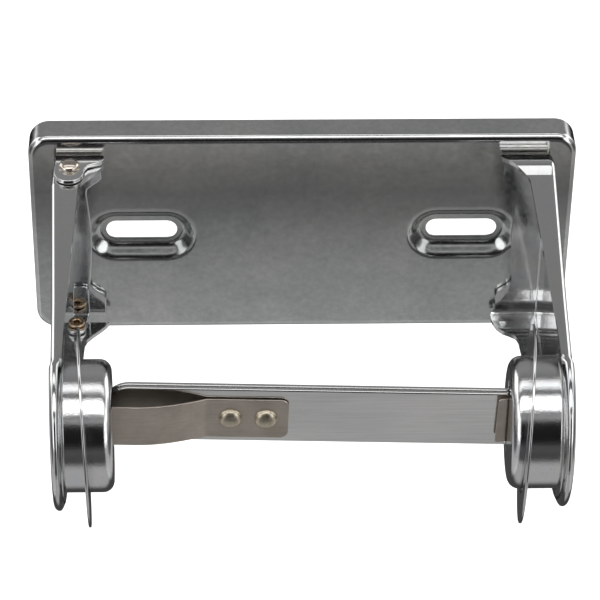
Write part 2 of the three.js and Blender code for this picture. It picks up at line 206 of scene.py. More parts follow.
def inset(points, distance, closed=True):
    """Moves an anticlockwise outline inwards by a distance, or by one distance for each point."""
    p = np.array(points, float)
    ahead = np.roll(p, -1, axis=0) - p
    behind = p - np.roll(p, 1, axis=0)
    if not closed:
        ahead[-1] = behind[-1]
        behind[0] = ahead[0]

    def normal(d):
        d = d / np.linalg.norm(d, axis=1, keepdims=True)
        return np.stack([-d[:, 1], d[:, 0]], axis=1)

    a, b = normal(ahead), normal(behind)
    mitre = (a + b) / (1 + np.sum(a * b, axis=1, keepdims=True))
    return p + mitre * np.reshape(distance, (-1, 1))


def round_rect(width, height, radius, steps=8, run=6):
    """A rounded rectangle about the origin with the same count of points whatever its size."""
    w, h = width / 2 - radius, height / 2 - radius
    points = []
    for k, (u, v) in enumerate([(w, h), (-w, h), (-w, -h), (w, -h)]):
        start = k * math.pi / 2
        points += arc((u, v), radius, start, start + math.pi / 2, steps)
        following = [(w, h), (-w, h), (-w, -h), (w, -h)][(k + 1) % 4]
        turn = start + math.pi / 2
        tip = (radius * math.cos(turn), radius * math.sin(turn))
        for j in range(1, run):
            points.append((
                u + (following[0] - u) * j / run + tip[0],
                v + (following[1] - v) * j / run + tip[1],
            ))
    return points


# ---- mesh building -----------------------------------------------------------------------------
class Skin:
    """Rings of points joined by quads, with flat fills between nested rings."""

    def __init__(self):
        self.bm = bmesh.new()

    def ring(self, points):
        return [self.bm.verts.new(p) for p in points]

    def loft(self, loops, closed=True):
        rings = [self.ring(points) for points in loops]
        for a, b in zip(rings, rings[1:]):
            count = len(a)
            for i in range(count if closed else count - 1):
                j = (i + 1) % count
                self.bm.faces.new((a[i], a[j], b[j], b[i]))
        return rings

    def fill(self, *rings):
        edges = []
        for ring in rings:
            for a, b in zip(ring, ring[1:] + ring[:1]):
                edges.append(self.bm.edges.get((a, b)) or self.bm.edges.new((a, b)))
        bmesh.ops.triangle_fill(self.bm, use_beauty=True, use_dissolve=False, edges=edges)

    def cap(self, ring, point):
        tip = self.bm.verts.new(point)
        for a, b in zip(ring, ring[1:] + ring[:1]):
            self.bm.faces.new((a, b, tip))

    def face_towards(self, direction):
        """Makes all faces agree, the largest one facing that direction."""
        bmesh.ops.recalc_face_normals(self.bm, faces=self.bm.faces[:])
        largest = max(self.bm.faces, key=lambda f: f.calc_area())
        if largest.normal.dot(Vector(direction)) < 0:
            bmesh.ops.reverse_faces(self.bm, faces=self.bm.faces[:])


def cut(bm, axis, places):
    """Splits every face along planes across one axis, so that it can bend there."""
    normal = Vector((0, 0, 0))
    normal[axis] = 1
    for place in places:
        everything = bm.verts[:] + bm.edges[:] + bm.faces[:]
        bmesh.ops.bisect_plane(bm, geom=everything, plane_co=normal * place, plane_no=normal, dist=1e-5)


def moved(bm, rule):
    for v in bm.verts:
        v.co = Vector(rule(*v.co))
    return bm


def strip(outer, holes, thickness, edge=0.22, support=0.2):
    """A flat sheet with softly rounded edges: outlines in (u, v), thickness along w from 0."""
    skin = Skin()
    quarter = [(edge * (1 - math.sin(a)), edge * (1 - math.cos(a))) for a in np.linspace(0, math.pi / 2, 4)]
    profile = [(edge + support, thickness)]
    profile += [(i, thickness - d) for i, d in quarter]
    profile += [(i, d) for i, d in reversed(quarter)]
    profile += [(edge + support, 0.0)]
    tops, bottoms = [], []
    for index, line in enumerate([outer] + list(holes)):
        line = line if area(line) > 0 else line[::-1]
        sign = 1 if index == 0 else -1
        loops = [[(u, v, w) for u, v in inset(line, sign * i)] for i, w in profile]
        rings = skin.loft(loops)
        tops.append(rings[0])
        bottoms.append(rings[-1])
    skin.fill(*tops)
    skin.fill(*bottoms)
    return skin


def turned(profile, steps=128):
    """A body turned about X from (radius, x) pairs; an end with no radius closes at the axis."""
    skin = Skin()
    body = [(r, x) for r, x in profile if r > 1e-6]
    angles = np.linspace(0, 2 * math.pi, steps, endpoint=False)
    rings = skin.loft([[(x, r * math.cos(a), r * math.sin(a)) for a in angles] for r, x in body])
    if profile[0][0] <= 1e-6:
        skin.cap(rings[0], (profile[0][1], 0, 0))
    if profile[-1][0] <= 1e-6:
        skin.cap(rings[-1], (profile[-1][1], 0, 0))
    if profile[0] == profile[-1]:
        bmesh.ops.remove_doubles(skin.bm, verts=skin.bm.verts[:], dist=1e-6)
    return skin


def soft_profile(corners, closed=False, steps=4):
    """A profile whose (radius, x, fillet) corners are rounded, kept open unless it is a ring."""
    points = rounded([(a, b, r) for a, b, r in corners], steps)
    if closed:
        points.append(points[0])
    return points


def piece(name, skin, material, body, nodes=(), thickness=0.0, soften=0.0, blend=None):
    """Turns a skin into an object that stands for CAD nodes and moves with a body; given a blend, it is
    left in place and moves with no body.
    """
    skin.bm.transform(Matrix.Scale(MM, 4))
    if not thickness:
        bmesh.ops.recalc_face_normals(skin.bm, faces=skin.bm.faces[:])
    mesh = bpy.data.meshes.new(name)
    skin.bm.to_mesh(mesh)
    skin.bm.free()
    for polygon in mesh.polygons:
        polygon.use_smooth = True
    mesh.materials.append(material)
    obj = bpy.data.objects.new(name, mesh)
    SCENE.collection.objects.link(obj)
    if thickness:
        solid = obj.modifiers.new("thickness", "SOLIDIFY")
        solid.thickness = thickness * MM
        solid.offset = -1
        solid.use_even_offset = True
        solid.use_quality_normals = True
    if soften:
        bevel = obj.modifiers.new("soft_edges", "BEVEL")
        bevel.width = soften * MM
        bevel.segments = 3
        bevel.limit_method = "ANGLE"
        bevel.angle_limit = math.radians(50)
    weighted = obj.modifiers.new("flat_faces_stay_flat", "WEIGHTED_NORMAL")
    weighted.weight = 80
    if blend:
        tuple(blend[1])
        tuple(blend[2])
        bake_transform(obj)
    else:
        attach(obj, body)
    if nodes:
        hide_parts(*nodes)
    return obj


# ---- materials ---------------------------------------------------------------------------------
def set_stops(node, stops):
    """Gives a colour ramp its (position, colour) stops, from low to high."""
    elements = node.color_ramp.elements
    elements[0].position, elements[1].position = stops[0][0], stops[-1][0]
    for position, _ in stops[1:-1]:
        elements.new(position)
    for element, (_, colour) in zip(elements, stops):
        element.color = (*colour, 1)


WAVER_FADE = (8, 3)  # the wavering fades out over this stretch below a plate's top edge


class Shader:
    """A metal made of layered procedural noise, in object coordinates."""

    def __init__(self, name):
        self.material = bpy.data.materials.new(name)
        self.material.use_nodes = True
        self.tree = self.material.node_tree
        self.surface = self.tree.nodes["Principled BSDF"]
        self.place = self.tree.nodes.new("ShaderNodeTexCoord").outputs["Object"]

    def noise(self, size, detail=4.0, stretch=(1, 1, 1), roughness=0.6):
        """Noise whose features are about `size` millimetres, stretched along an axis if asked."""
        mapping = self.tree.nodes.new("ShaderNodeMapping")
        mapping.inputs["Scale"].default_value = [1 / (size * MM * s) for s in stretch]
        self.tree.links.new(self.place, mapping.inputs["Vector"])
        node = self.tree.nodes.new("ShaderNodeTexNoise")
        node.inputs["Scale"].default_value = 1.0
        node.inputs["Detail"].default_value = detail
        node.inputs["Roughness"].default_value = roughness
        self.tree.links.new(mapping.outputs["Vector"], node.inputs["Vector"])
        return node.outputs["Fac"]

    def ramp(self, source, stops):
        node = self.tree.nodes.new("ShaderNodeValToRGB")
        set_stops(node, stops)
        self.tree.links.new(source, node.inputs["Fac"])
        return node.outputs["Color"]

    def span(self, source, start, end, low, high):
        """Goes from low to high as the source goes from start to end."""
        node = self.tree.nodes.new("ShaderNodeMapRange")
        node.inputs["From Min"].default_value = start
        node.inputs["From Max"].default_value = end
        node.inputs["To Min"].default_value = low
        node.inputs["To Max"].default_value = high
        self.tree.links.new(source, node.inputs["Value"])
        return node.outputs["Result"]

    def spread(self, source, low, high):
        """A noise's usual range, stretched to go from low to high."""
        return self.span(source, 0.3, 0.7, low, high)

    def height(self, low, high, waver, swing):
        """0 at a low Z and 1 at a high Z, wavering by up to half of `swing`, but not near the top."""
        split = self.tree.nodes.new("ShaderNodeSeparateXYZ")
        self.tree.links.new(self.place, split.inputs[0])
        up = split.outputs["Z"]
        fade = self.span(up, (high - WAVER_FADE[0]) * MM, (high - WAVER_FADE[1]) * MM, swing * MM, 0.0)
        centred = self.span(waver, 0.0, 1.0, -0.5, 0.5)
        node = self.tree.nodes.new("ShaderNodeMath")
        node.operation = "MULTIPLY"
        self.tree.links.new(centred, node.inputs[0])
        self.tree.links.new(fade, node.inputs[1])
        return self.span(self.add(up, node.outputs[0]), low * MM, high * MM, 0.0, 1.0)

    def add(self, a, b):
        node = self.tree.nodes.new("ShaderNodeMath")
        node.operation = "ADD"
        self.tree.links.new(a, node.inputs[0])
        self.tree.links.new(b, node.inputs[1])
        return node.outputs[0]

    def multiply(self, a, b):
        node = self.tree.nodes.new("ShaderNodeMix")
        node.data_type = "RGBA"
        node.blend_type = "MULTIPLY"
        node.inputs["Factor"].default_value = 1.0
        self.tree.links.new(a, node.inputs["A"])
        self.tree.links.new(b, node.inputs["B"])
        return node.outputs["Result"]

    def bump(self, source, depth, before=None):
        node = self.tree.nodes.new("ShaderNodeBump")
        node.inputs["Strength"].default_value = 1.0
        node.inputs["Distance"].default_value = depth * MM
        self.tree.links.new(source, node.inputs["Height"])
        if before:
            self.tree.links.new(before, node.inputs["Normal"])
        return node.outputs["Normal"]

    def finish(self, colour, roughness, normal, metallic=1.0):
        self.surface.inputs["Metallic"].default_value = metallic
        self.tree.links.new(colour, self.surface.inputs["Base Color"])
        self.tree.links.new(roughness, self.surface.inputs["Roughness"])
        self.tree.links.new(normal, self.surface.inputs["Normal"])
        return self.material


def satin_plate():
    """Dull chrome over rolled steel: soft blotches, a painted reflection that runs by height below the top
    edge, a fine grain.
    """
    s = Shader("plate_chrome")
    edge = PLATE_HEIGHT / 2
    # Painted reflection: the colour runs by height, light low down, darkest three quarters up, then browner
    # and lighter towards the top edge, in place of the mirrored studio.
    tone_ramp = s.ramp(s.height(-edge, edge, s.noise(16, 3), 9.0), [
        (0.05, (0.76, 0.78, 0.78)), (0.30, (0.70, 0.72, 0.715)), (0.50, (0.56, 0.575, 0.57)),
        (0.62, (0.43, 0.44, 0.435)), (0.72, (0.36, 0.365, 0.36)), (0.84, (0.46, 0.455, 0.44)),
        (0.93, (0.62, 0.61, 0.595)), (0.985, (0.70, 0.70, 0.705)),
    ])
    blotch = s.ramp(s.noise(22, 4), [(0.35, (0.84, 0.86, 0.85)), (0.65, (1.0, 0.99, 0.97))])
    grain = s.ramp(s.noise(1.6, 5), [(0.3, (0.86, 0.86, 0.86)), (0.7, (1, 1, 1))])
    rough = s.spread(s.noise(2.6, 5), 0.10, 0.19)
    normal = s.bump(s.noise(0.55, 3), 0.004, s.bump(s.noise(7, 2), 0.016))
    return s.finish(s.multiply(s.multiply(tone_ramp, blotch), grain), rough, normal)


def bright_chrome(name="bright_chrome", tone=0.66, rough=0.06, peel=0.002):
    """Bright chrome over steel that was never polished: orange peel and tiny pits."""
    s = Shader(name)
    cold, warm = (tone * 0.97, tone * 0.985, tone), (tone, tone, tone * 0.985)
    tone_ramp = s.ramp(s.noise(14, 3), [(0.4, cold), (0.6, warm)])
    pits = s.ramp(s.noise(0.35, 4, roughness=0.75), [(0.33, (0.7, 0.7, 0.7)), (0.42, (1, 1, 1))])
    roughness = s.spread(s.noise(2.2, 5), rough, rough + 0.09)
    normal = s.bump(s.noise(0.5, 4, roughness=0.7), peel, s.bump(s.noise(4.5, 2), 0.012))
    return s.finish(s.multiply(tone_ramp, pits), roughness, normal)


def bar_chrome():
    """Chrome over drawn strip: faint grain lines run along the bar."""
    s = Shader("bar_chrome")
    tone = s.ramp(s.noise(12, 3, (3, 1, 1)), [(0.35, (0.66, 0.66, 0.655)), (0.65, (0.76, 0.755, 0.745))])
    grain = s.ramp(s.noise(0.5, 4, (60, 1, 1)), [(0.3, (0.9, 0.9, 0.9)), (0.7, (1, 1, 1))])
    roughness = s.spread(s.noise(0.4, 4, (40, 1, 1)), 0.08, 0.15)
    normal = s.bump(s.noise(0.35, 3, (50, 1, 1)), 0.003, s.bump(s.noise(6, 2), 0.010))
    return s.finish(s.multiply(tone, grain), roughness, normal)


def spring_steel():
    """Bare tan spring strip with a satin roll grain and darker heat marks."""
    s = Shader("spring_steel")
    tone = s.ramp(s.noise(9, 4), [(0.3, (0.51, 0.455, 0.40)), (0.7, (0.65, 0.585, 0.52))])
    grain = s.ramp(s.noise(0.45, 4, (30, 1, 1)), [(0.3, (0.86, 0.85, 0.84)), (0.7, (1, 1, 1))])
    roughness = s.spread(s.noise(0.8, 4, (12, 1, 1)), 0.28, 0.4)
    normal = s.bump(s.noise(0.4, 3, (20, 1, 1)), 0.005)
    return s.finish(s.multiply(tone, grain), roughness, normal)


def rivet_metal(name, dark, light, rough):
    """Plated rivet metal, rubbed and pitted by the tool that set it."""
    s = Shader(name)
    tone = s.ramp(s.noise(1.4, 4), [(0.35, dark), (0.65, light)])
    pits = s.ramp(s.noise(0.3, 4), [(0.32, (0.65, 0.62, 0.6)), (0.45, (1, 1, 1))])
    roughness = s.spread(s.noise(0.6, 4), rough, rough + 0.12)
    normal = s.bump(s.noise(0.5, 4), 0.012)
    return s.finish(s.multiply(tone, pits), roughness, normal)


PLATE_METAL = satin_plate()
ARM_METAL = bright_chrome()
DRUM_METAL = bright_chrome("drum_chrome", 0.70, 0.05, 0.034)
DISC_METAL = bright_chrome("disc_chrome", 0.66, 0.1)
BAR_METAL = bar_chrome()
SPRING_METAL = spring_steel()
HINGE_BRASS = rivet_metal("rivet_brass", (0.56, 0.40, 0.25), (0.74, 0.57, 0.40), 0.16)
PIN_METAL = rivet_metal("pin_plating", (0.50, 0.44, 0.38), (0.68, 0.62, 0.55), 0.1)
LATCH_BRASS = rivet_metal("latch_rivet", (0.52, 0.46, 0.36), (0.63, 0.57, 0.46), 0.3)


# ---- back plate --------------------------------------------------------------------------------
def obround(x, spread, steps=14, run=8):
    """The outline of a slot, widened by `spread`, as (x, z) points."""
    radius = SLOT_WIDTH / 2 + spread
    half = (SLOT_LENGTH - SLOT_WIDTH) / 2
    points = arc((x + half, 0), radius, -math.pi / 2, math.pi / 2, steps)
    points += [(x + half - 2 * half * k / run, radius) for k in range(1, run)]
    points += arc((x - half, 0), radius, math.pi / 2, 1.5 * math.pi, steps)
    points += [(x - half + 2 * half * k / run, -radius) for k in range(1, run)]
    return points


def back_plate():
    skin = Skin()
    profile = [(0.0, 0.0), (0.0, FACE_Y / 2), (0.0, FACE_Y + PLATE_BEND + 0.3)]
    for a in np.linspace(0, math.pi / 2, 9):
        profile.append((PLATE_BEND * (1 - math.cos(a)), FACE_Y + PLATE_BEND * (1 - math.sin(a))))
    profile.append((PLATE_BEND + 0.4, FACE_Y))
    loops = []
    for i, y in profile:
        line = round_rect(PLATE_WIDTH - 2 * i, PLATE_HEIGHT - 2 * i, PLATE_CORNER - i, 12)
        loops.append([(x, y, z) for x, z in line])
    face = [skin.loft(loops)[-1]]
    for x in (-SLOT_X, SLOT_X):
        wall = [(DIMPLE_LIP + DIMPLE_SPREAD + 0.7, 0.0)]
        for t in np.linspace(1, 0, 15):
            depth = DIMPLE_DEPTH * (1 + math.cos(math.pi * t)) / 2
            wall.append((DIMPLE_LIP + DIMPLE_SPREAD * t, depth))
        wall += [(0.35, DIMPLE_DEPTH), (0.12, DIMPLE_DEPTH + 0.05), (0.0, DIMPLE_DEPTH + 0.22)]
        rings = skin.loft([[(px, FACE_Y + depth, z) for px, z in obround(x, s)] for s, depth in wall])
        face.append(rings[0])
    skin.fill(*face)
    skin.face_towards((0, -1, 0))
    piece("pressed_plate", skin, PLATE_METAL, "plate_frame", ["back_plate"],
          thickness=SHEET, soften=0.2)


# ---- arms --------------------------------------------------------------------------------------
def flange_width(y):
    """Width of the top and bottom flanges, from the outer face, at a distance from the wall."""
    lobe = 1 - smooth_step(-y, -FACE_Y + LOBE_DEPTH - 1.2, -CREST_Y + 2.2)
    tip = min(1.0, max(0.0, (CREST_Y - y) / (CREST_Y - HUB_Y - RIM_RADIUS / 2)))
    plain = FLANGE_NECK + (FLANGE_TIP - FLANGE_NECK) * tip
    return plain + (FLANGE_ROOT - plain) * lobe


def foot_width(z):
    """Width of a foot at a height: wide lobes above and below a waist."""
    lobe = smooth_step(abs(z), ROOT_TOP - LOBE_HEIGHT - 4.0, ROOT_TOP - LOBE_HEIGHT + 0.8)
    return FOOT_WAIST + 0.8 * math.cos(z / 9) + (FLANGE_ROOT - FOOT_WAIST - 0.6) * lobe


def hub_lean(y):
    """How far a hub, turned inward with its arm, is beyond where the hub begins."""
    return max(0.0, HUB_NEAR_Y - y) * math.tan(HUB_TURN)


def toe_shift(y):
    """How far the arm leans inward at a distance from the wall."""
    return TOE_IN * min(1.0, max(0.0, (CREST_Y - y) / (CREST_Y - HUB_NEAR_Y))) + hub_lean(y)


def arm_outline(root_y, top, bottom, closed):
    """The arm's side outline as (y, z) points, anticlockwise."""
    def touch(z):
        away = math.hypot(CREST_Y - HUB_Y, z)
        return math.atan2(z, CREST_Y - HUB_Y) + math.copysign(math.acos(RIM_RADIUS / away), z)

    high, low = touch(top), touch(bottom) + 2 * math.pi
    hub = arc((HUB_Y, 0), RIM_RADIUS, high, low, 72)
    corners = [(root_y, bottom, 0), (root_y, top, 0)]
    if closed:
        corners = [(root_y, bottom, 2.6), (root_y, top, 2.6)]
    path = rounded(corners + [(CREST_Y, top, 9.0), (hub[0][0], hub[0][1], 0), (hub[-1][0], hub[-1][1], 0),
                              (CREST_Y, bottom, 9.0)], 8)
    split = next(i for i, p in enumerate(path) if abs(p[0] - hub[0][0]) + abs(p[1] - hub[0][1]) < 1e-6)
    line = path[:split] + hub + path[split + 2:]
    dense = []
    for a, b in zip(line, line[1:] + line[:1]):
        dense.append(a)
        length = math.dist(a, b)
        if not closed and a == line[0]:
            continue
        for k in range(1, int(length // 1.6)):
            share = k / (length // 1.6)
            dense.append((a[0] + (b[0] - a[0]) * share, a[1] + (b[1] - a[1]) * share))
    return dense


def hub_share(y, z):
    angle = abs(math.atan2(z, y - HUB_Y))
    on_rim = abs(math.hypot(y - HUB_Y, z) - RIM_RADIUS) < 0.05
    return smooth_step(angle, 1.0, 1.5) if on_rim else 0.0


PLAIN_BEND = [(2.3, 0.0), (2.15, 0.0), (2.0, 0.0), (1.8, 0.0)] + [
    (ARM_BEND * (1 - math.sin(a)), -ARM_BEND * (1 - math.cos(a))) for a in np.linspace(0, math.pi / 2, 8)
]
ROLL_CURL = 1.9
ROOT_SWELL = 1.4
HUB_BEAD = [(5.2, 0.0), (4.6, 0.1 * BEAD), (3.9, 0.45 * BEAD), (3.2, 0.84 * BEAD)] + [
    (2.0 * (1 - math.sin(a)), BEAD - 1.4 * (1 - math.cos(a))) for a in np.linspace(0, math.pi / 2, 8)
]


def root_swell(y, z):
    """How far the fixed arm's drawn root swells up or down between the plate and the crest."""
    along = (FOOT_Y - 2.4 - y) / (FOOT_Y - 2.4 - CREST_Y)
    if not 0 < along < 1:
        return 0.0
    share = smooth_step(abs(z), ROOT_TOP - 2 * LOBE_HEIGHT, ROOT_TOP)
    return math.copysign(ROOT_SWELL * share * math.sin(math.pi * along) ** 2, z)


def arm_skin(side, root_y, top, bottom, closed):
    line = arm_outline(root_y, top, bottom, closed)
    start = 0 if closed else 1
    run = line[start:] + line[:start]
    run = run if area(run) > 0 else run[::-1]
    if closed:
        run = [(y, z + root_swell(y, z)) for y, z in run]
    hubs = np.array([hub_share(y, z) for y, z in run])
    widths = []
    for y, z in run:
        foot = closed and y > root_y - 2.4
        width = foot_width(z) if foot else flange_width(y)
        if foot:
            near = smooth_step(abs(z), top - 2.6, top)
            width = width + (flange_width(y) - width) * near
        widths.append(width)
    loops = []
    for (i0, x0), (i1, x1) in zip(PLAIN_BEND, HUB_BEAD):
        ring = inset(run, i0 + (i1 - i0) * hubs, closed)
        if not closed:
            ring[0][0] = ring[-1][0] = root_y
        out = x0 + (x1 - x0) * hubs
        loops.append([(side * (ARM_X + o), y, z) for (y, z), o in zip(ring, out)])
    last = loops[-1]
    for share in (0.08, 0.35, 0.6, 0.8, 0.92, 1.0):
        row = []
        curled = inset(run, hubs * ROLL_CURL * smooth_step(share, 0.1, 1.15) * share, closed)
        for (x, y, z), (cy, cz), width in zip(last, curled, widths):
            edge = side * (ARM_X - width + toe_shift(y))
            row.append((x + (edge - x) * share, cy, cz))
        loops.append(row)
    skin = Skin()
    rings = skin.loft(loops, closed)
    skin.fill(rings[0])
    cut(skin.bm, 1, np.linspace(CREST_Y + 3, CREST_Y - 3, 5))
    cut(skin.bm, 1, np.linspace(HUB_Y + RIM_RADIUS + 3, HUB_Y + RIM_RADIUS - 3, 5))
    moved(skin.bm, lambda x, y, z: (x - side * toe_shift(y), y, z))
    skin.face_towards((side, 0, 0))
    return skin


def arms():
    piece("fixed_arm", arm_skin(1, FOOT_Y, ROOT_TOP, -ROOT_TOP, True), ARM_METAL, "plate_frame",
          ["right_arm"], thickness=SHEET, soften=0.22)
    top = ROOT_TOP - SHEET - GAP
    piece("hinged_arm", arm_skin(-1, LEFT_ROOT_Y, top, -ROOT_TOP, False), ARM_METAL, "swing_arm",
          ["left_arm"], thickness=SHEET, soften=0.22)


# ---- hinge bracket -----------------------------------------------------------------------------
def bent_up(base_y, base_z, up, radius=1.8):
    """Bends a flat sheet, v along Z and w into the room, forward over a corner at base_z."""
    middle = radius - SHEET / 2
    length = middle * math.pi / 2

    def rule(u, v, w):
        beyond = v - base_z * up + radius
        depth = radius - w
        if beyond <= 0:
            return (u, base_y - w, v * up)
        angle = min(beyond / middle, math.pi / 2)
        y = base_y - radius + depth * math.cos(angle)
        z = base_z * up - radius + depth * math.sin(angle)
        return (u, y - max(0.0, beyond - length), z * up)
    return rule


def bracket():
    x = lambda inboard: -(ARM_X - inboard)
    low = BRACKET_BOTTOM
    flat_top = ROOT_TOP - 1.8 + (1.8 - SHEET / 2) * math.pi / 2
    over = flat_top + FOOT_Y - 1.8
    inner = [(x(foot_width(z)), z) for z in np.linspace(low + 1.2, ROOT_TOP - 2.0, 44)]
    nose = -(HINGE_Y - 2.8) + over
    lobe = -FACE_Y + over
    root = x(FLANGE_ROOT)
    ear = [(root, lobe + 3.0), (root - 0.9, lobe + 4.8), (root - 2.6, lobe + 5.6),
           (HINGE_X + 5.0, lobe + 6.4), (HINGE_X + 4.2, lobe + 8.0)]
    ear += arc((HINGE_X, nose), 4.0, 0, math.pi, 16)
    outline = [(x(0.8), low), (root - 1.2, low)] + inner + ear + [(x(0.8), nose - 4)]
    hole = arc((HINGE_X, -HINGE_Y + over), PIN_RADIUS + GAP, 0, 2 * math.pi, 24)[:-1]
    skin = strip(outline, [hole], SHEET)
    cut(skin.bm, 1, np.linspace(ROOT_TOP - 2.0, flat_top + 0.2, 10))
    moved(skin.bm, bent_up(FOOT_Y, ROOT_TOP, 1))
    piece("hinge_bracket", skin, ARM_METAL, "plate_frame", ["left_bracket"])

    base = FOOT_Y - SHEET - 0.02
    reach = -low - 1.8 + (1.8 - SHEET / 2) * math.pi / 2 + base - 1.8
    tab = rounded([
        (HINGE_X - TAB_INSIDE, -low - TAB_DROP, 1.0), (HINGE_X + TAB_FOOT, -low - TAB_DROP, 1.6),
        (HINGE_X + TAB_FOOT, -low - 1.9, 0.6), (HINGE_X + TAB_HALF, reach - HINGE_Y, 0),
    ])
    tab += arc((HINGE_X, reach - HINGE_Y + 1.2), TAB_HALF, 0, math.pi, 14)
    tab += [(HINGE_X - TAB_HALF, reach - HINGE_Y - 0.3), (HINGE_X - TAB_INSIDE, reach - HINGE_Y - 2.1)]
    hole = arc((HINGE_X, reach - HINGE_Y), PIN_RADIUS + GAP, 0, 2 * math.pi, 24)[:-1]
    skin = strip(tab, [hole], SHEET, support=0.1)
    cut(skin.bm, 1, np.linspace(-low - 1.9, -low + 0.2, 8))
    moved(skin.bm, bent_up(base, -low, 1))
    moved(skin.bm, lambda u, y, z: (u, y, -z))
    piece("hinge_tab", skin, ARM_METAL, "plate_frame", ["left_bracket"])


def hinge_pins():
    """A domed rivet through the top ear and a hollow eyelet through the bottom one."""
    seat = rivet_high[2] - RIVET_RISE
    under = rivet_low[2] + TAIL_DEPTH
    dome = [(RIVET_HEAD * math.cos(a), seat + 0.25 + (RIVET_RISE - 0.25) * math.sin(a))
            for a in np.linspace(0, math.pi / 2, 12)]
    tail = RIVET_HEAD - 0.4
    end = under - TAIL_DEPTH
    profile = [(0.0, end), (tail - TAIL_CHAMFER, end), (tail, end + TAIL_CHAMFER), (tail, under),
               (PIN_RADIUS, under), (PIN_RADIUS, seat), (RIVET_HEAD - 0.1, seat)]
    profile += dome[:-1] + [(0.0, rivet_high[2])]
    skin = turned(profile, PIN_FACETS)
    moved(skin.bm, lambda x, y, z: (HINGE_X + y, HINGE_Y + z, x))
    piece("hinge_pin", skin, PIN_METAL, "plate_frame", ["hinge_rivet"])

    top, bottom = eyelet_high[2], eyelet_low[2]
    head, bore, lip = EYELET_HEAD, EYELET_BORE, EYELET_LIP
    ring = soft_profile([
        (bore, bottom, 0.25), (head, bottom, 0.28), (head, bottom + lip, 0.1),
        (PIN_RADIUS, bottom + lip, 0.05),
        (PIN_RADIUS, top - lip, 0.05), (head, top - lip, 0.1), (head, top, 0.28), (bore, top, 0.25),
    ], closed=True)
    skin = turned(ring, PIN_FACETS)
    moved(skin.bm, lambda x, y, z: (HINGE_X + y, HINGE_Y + z, x))
    piece("hollow_eyelet", skin, HINGE_BRASS, "plate_frame", ["hinge_eyelet"])


# ---- hubs and discs ----------------------------------------------------------------------------
def bar_middle(x):
    return BAR_LIFT - x * math.tan(BAR_TILT)


def drum(side, name, body, node, window_front, window_back):
    """A deep-drawn cup: its closed end has a window for the bar and its flange sits on the arm."""
    face, back = DRUM_FACE_X, DRUM_BACK_X
    inner_fillet = DRUM_FILLET - DRUM_WALL
    middle = DRUM_RADIUS - DRUM_FILLET
    centre_x = face + DRUM_FILLET
    seat = hub_high[2]
    outside = [(middle + DRUM_FILLET * math.sin(a), centre_x - DRUM_FILLET * math.cos(a))
               for a in np.linspace(0, math.pi / 2, 13)]
    inside = [(middle + inner_fillet * math.sin(a), centre_x - inner_fillet * math.cos(a))
              for a in np.linspace(math.pi / 2, 0, 9)]
    root = [(DRUM_RADIUS + 0.7 * (1 - math.cos(a)), back - DRUM_WALL - 0.7 * (1 - math.sin(a)))
            for a in np.linspace(0, math.pi / 2, 5)]
    profile = [(middle - 0.4, face)] + outside + [(DRUM_RADIUS, back - 5)] + root
    profile += [(seat - 0.2, back - DRUM_WALL), (seat, back - DRUM_WALL + 0.2)]
    profile += [(seat, back - 0.2), (seat - 0.2, back)]
    profile += [(DRUM_RADIUS - DRUM_WALL + 0.3, back), (DRUM_RADIUS - DRUM_WALL, back - 0.3)]
    profile += inside + [(middle - 0.4, face + DRUM_WALL)]
    skin = Skin()
    angles = np.linspace(0, 2 * math.pi, DRUM_FACETS, endpoint=False)
    rings = skin.loft([
        [(side * x, HUB_Y + r * math.cos(a), r * math.sin(a)) for a in angles] for r, x in profile
    ])
    half = BAR_HEIGHT / 2 + abs(bar_middle(side * face)) + 2 * GAP
    window = rounded([
        (window_front, -half, 0.8), (window_back, -half, 0.8),
        (window_back, half, 0.8), (window_front, half, 0.8),
    ])
    edge = [(-0.4, 0.0), (-0.2, 0.0), (-0.06, 0.06), (0.0, 0.2), (0.0, DRUM_WALL - 0.1), (-0.3, DRUM_WALL)]
    walls = skin.loft([
        [(side * (face + depth), y, z) for y, z in inset(window, grow)] for grow, depth in edge
    ])
    skin.fill(rings[0], walls[0])
    skin.fill(rings[-1], walls[-1])
    moved(skin.bm, lambda x, y, z: (x - side * hub_lean(y), y, z))
    piece(name, skin, DRUM_METAL, body, [node])


def hubs():
    front = LEAF_BACK_Y - LEAF_RISE - LEAF_SHEET - GAP
    drum(-1, "left_drum", "swing_arm", "left_hub", front, BAR_REAR_Y + 1)
    front = LEAF_BACK_Y - CLIP_RISE - CLIP_SHEET - GAP
    drum(1, "right_drum", "plate_frame", "right_hub", front, BAR_REAR_Y + GAP)


def guard_disc(name, body, node, lean, turn):
    """A loose pressed washer that hangs a little askew on its drum."""
    low, high = cad_box(node)
    radius, bore, half = RIM_RADIUS + DISC_OVERHANG, DRUM_RADIUS + DISC_PLAY, DISC_SHEET / 2
    ring = soft_profile([
        (bore, -half, 0.2), (radius, -half, 0.28), (radius, half, 0.28), (bore, half, 0.2),
    ], closed=True, steps=5)
    skin = turned(ring, DISC_FACETS)
    askew = Matrix.Rotation(math.radians(turn), 4, "Z") @ Matrix.Rotation(math.radians(lean), 4, "Y")
    skin.bm.transform(Matrix.Translation(Vector((low + high) / 2)) @ askew)
    piece(name, skin, DISC_METAL, body, [node])


def discs():
    guard_disc("left_disc_ring", "left_disc", "left_guard_disc", lean=-1.4, turn=3.5)
    guard_disc("right_disc_ring", "right_disc", "right_guard_disc", lean=1.4, turn=-5.4)


# ---- bar, latch spring and clip ----------------------------------------------------------------
TILT = Matrix.Translation((0, 0, BAR_LIFT)) @ Matrix.Rotation(BAR_TILT, 4, "Y")


def tilted(skin):
    skin.bm.transform(TILT)
    return skin


def rivet_places():
    return [LEAF_END - RIVET_INSET - k * RIVET_PITCH for k in (0, 1)]


def rivet_holes():
    ring = lambda x: arc((x, -LEAF_DROP), PIN_RADIUS + GAP, 0, 2 * math.pi, 24)[:-1]
    return [ring(x) for x in rivet_places()]


